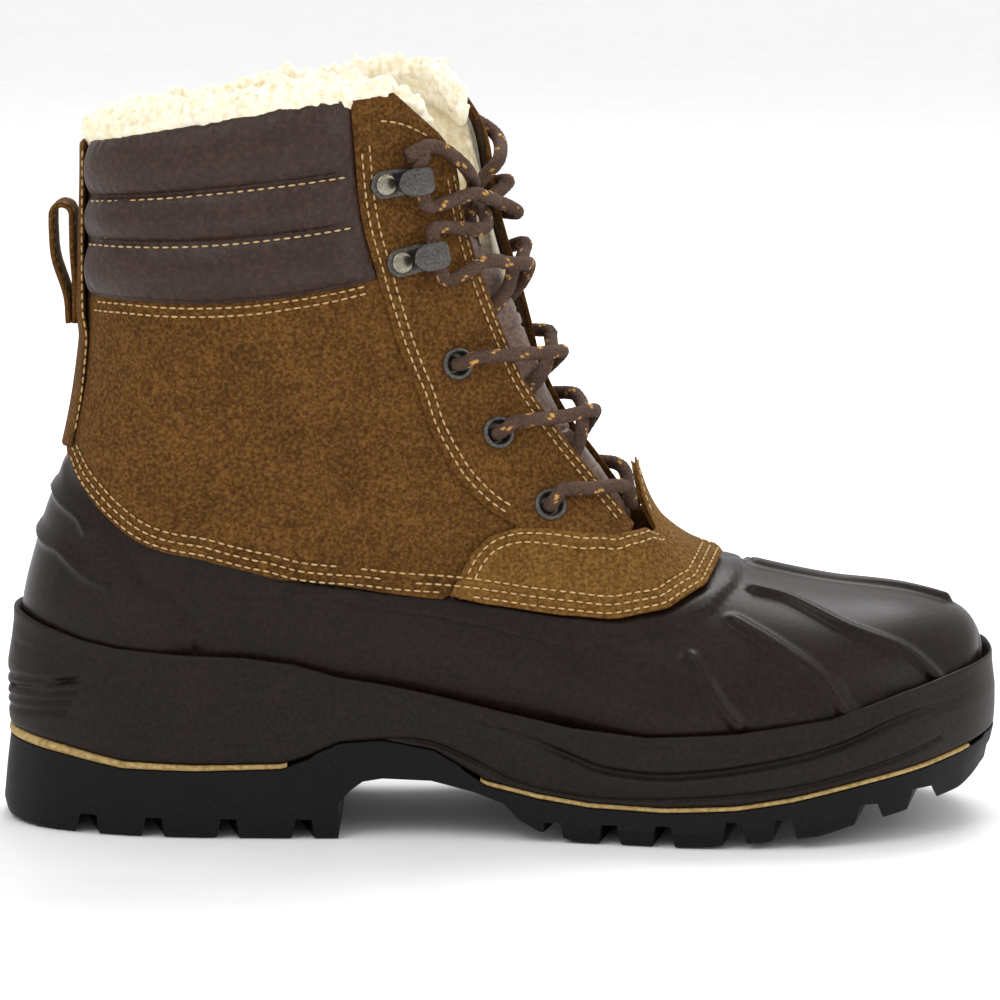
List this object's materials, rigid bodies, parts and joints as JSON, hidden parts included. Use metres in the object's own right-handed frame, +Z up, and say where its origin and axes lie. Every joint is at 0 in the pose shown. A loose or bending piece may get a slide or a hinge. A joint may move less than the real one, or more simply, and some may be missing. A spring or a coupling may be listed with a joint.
{
  "type": "insulated hunting boot",
  "caption": "Laced ankle boot with a moulded rubber lower on a lugged sole, suede upper, padded leather collar, speed hooks and fleece lining.",
  "frame": {"origin": "on the ground under the middle of the sole", "axes": "+X to the toe, +Z up, -Y to the outer side of a right boot"},
  "size_m": [0.3108, 0.1146, 0.232],
  "materials": {
    "shell_rubber": "satin brown",
    "tread_rubber": "matt black",
    "stripe_rubber": "matt tan",
    "foam": "soft foam",
    "board": "fibre board",
    "steel": "plain",
    "fleece": "deep pile",
    "tongue_leather": "satin grained",
    "suede": "napped",
    "light_suede": "napped",
    "collar_leather": "satin grained",
    "lace_cord": "braided with light flecks",
    "aglet_plastic": "plain",
    "gunmetal": "satin gunmetal",
    "nickel": "aged nickel"
  },
  "bodies": {
    "boot": {"rubber_shell": "shell_rubber", "heel_counter": "board", "insole_board": "board", "insulation": "foam", "footbed": "fleece", "quarter_lateral": "suede", "quarter_medial": "suede", "vamp_overlay": "light_suede", "collar_lateral": "collar_leather", "collar_medial": "collar_leather", "collar_foam_lower": "foam", "collar_foam_middle": "foam", "collar_foam_upper": "foam", "back_strip": "suede", "midsole": "shell_rubber", "outsole": "tread_rubber", "heel_stripe": "stripe_rubber", "forefoot_stripe": "stripe_rubber", "heel_cushion": "foam", "facing_backing_lateral": "board", "facing_backing_medial": "board", "shank": "steel", "lining": "fleece", "facing_lateral": "suede", "facing_medial": "suede", "lace": "lace_cord", "aglet_lateral": "aglet_plastic", "aglet_medial": "aglet_plastic", "eyelet_lateral_1": "gunmetal", "eyelet_lateral_2": "gunmetal", "eyelet_lateral_3": "gunmetal", "hook_lateral_1": "gunmetal", "hook_rivet_lateral_1": "nickel", "hook_lateral_2": "gunmetal", "hook_rivet_lateral_2": "nickel", "eyelet_medial_1": "gunmetal", "eyelet_medial_2": "gunmetal", "eyelet_medial_3": "gunmetal", "hook_medial_1": "gunmetal", "hook_rivet_medial_1": "nickel", "hook_medial_2": "gunmetal", "hook_rivet_medial_2": "nickel"},
    "tongue_body": {"tongue": "tongue_leather", "tongue_lining": "fleece"},
    "loop_body": {"pull_loop": "suede"}
  },
  "joints": [
    {"name": "tongue", "type": "hinge", "parent": "boot", "child": "tongue_body", "pos_m": [0.044, 0, 0.089], "axis": [0, -1, 0], "range_deg": [0, 8]},
    {"name": "pull_loop", "type": "hinge", "parent": "boot", "child": "loop_body", "pos_m": [-0.1302, 0, 0.1548], "axis": [0, -1, 0], "range_deg": [0, 45]}
  ]
}
